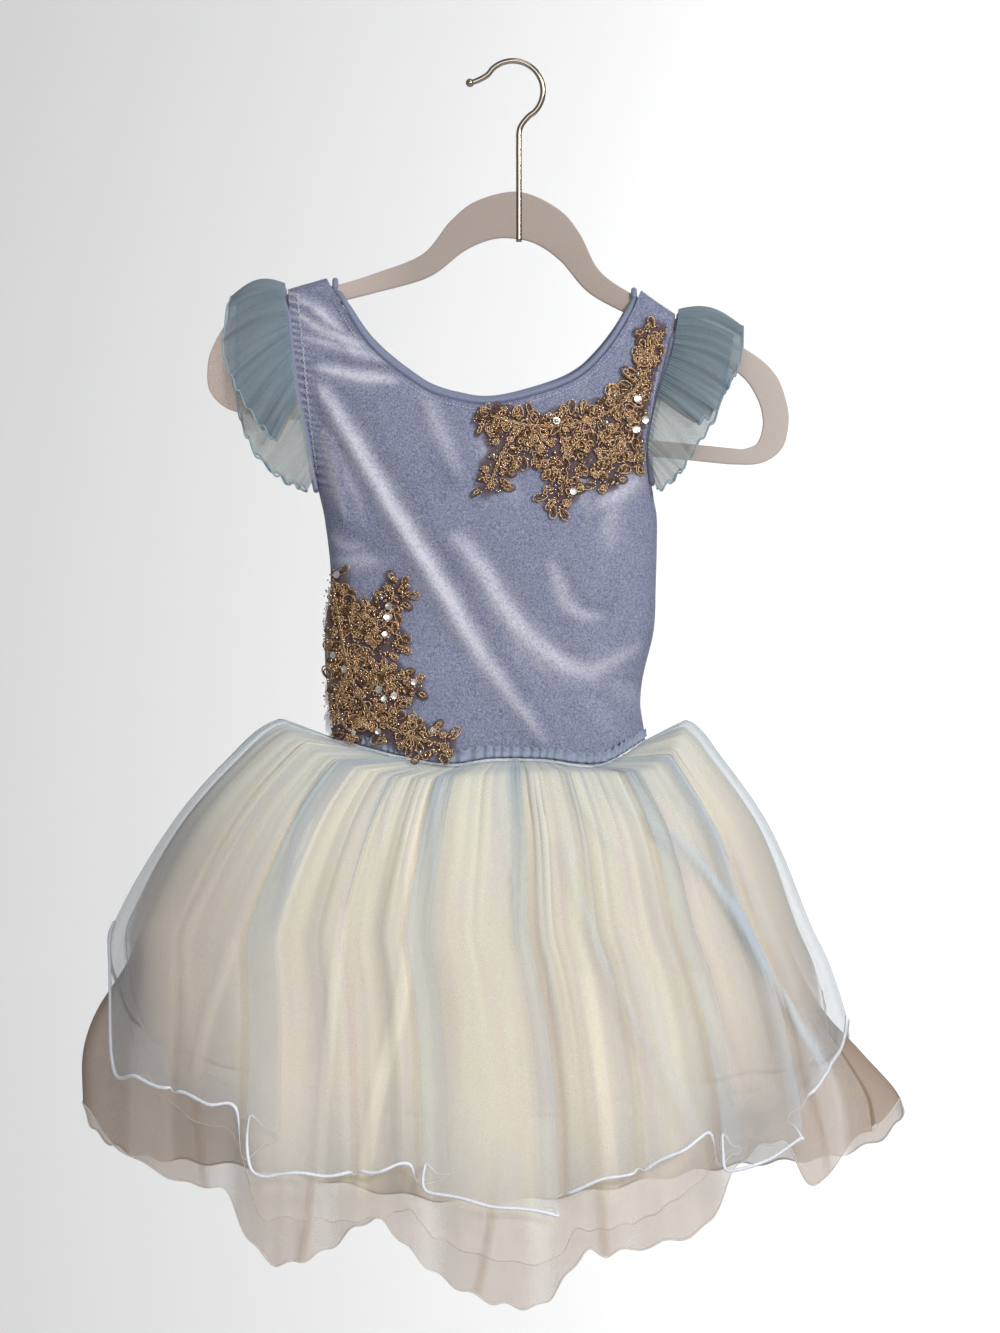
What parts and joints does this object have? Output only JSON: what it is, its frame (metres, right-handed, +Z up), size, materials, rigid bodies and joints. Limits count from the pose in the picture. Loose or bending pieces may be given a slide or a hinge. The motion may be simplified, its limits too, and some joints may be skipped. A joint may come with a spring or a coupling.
{
  "type": "tutu dance costume on a hanger",
  "caption": "Child's dance costume on a flocked hanger: stretch-velvet bodice with flutter sleeves and corded lace, over a layered tulle tutu skirt.",
  "frame": {"origin": "inside the top of the hook's arc, where the hanger rests on a rail or peg", "axes": "+Z up, +X towards the viewer's right, the front of the costume faces -Y"},
  "size_m": [0.5044, 0.1816, 0.7597],
  "materials": {
    "hanger_flock": "fine flock over a moulded core",
    "hook_metal": "polished wire",
    "velvet": "stretch velvet with a satin-like sheen",
    "nude_mesh": "fine stretch mesh",
    "binding": "folded velvet binding",
    "sleeve_tulle": "soft sheer tulle",
    "sleeve_tulle_pale": "soft sheer tulle",
    "frill": "ruffled elastic edge",
    "tulle_blue": "sheer tulle with a rolled satin hem",
    "tulle_ivory": "soft tulle",
    "tulle_nude": "sheer tulle with a rolled hem",
    "lace_cord": "corded lace with sequins"
  },
  "bodies": {
    "root": {"hanger_body": "hanger_flock", "hanger_hook": "hook_metal", "bodice_front": "velvet", "bodice_back": "velvet", "side_mesh": "nude_mesh", "neck_binding": "binding", "armhole_binding_left": "binding", "armhole_binding_right": "binding", "sleeve_left_upper": "sleeve_tulle", "sleeve_left_lower": "sleeve_tulle_pale", "sleeve_right_upper": "sleeve_tulle", "sleeve_right_lower": "sleeve_tulle_pale", "waist_frill": "frill", "skirt_blue": "tulle_blue", "skirt_ivory": "tulle_ivory", "skirt_nude": "tulle_nude", "lace_shoulder": "lace_cord", "lace_waist": "lace_cord"}
  },
  "joints": []
}
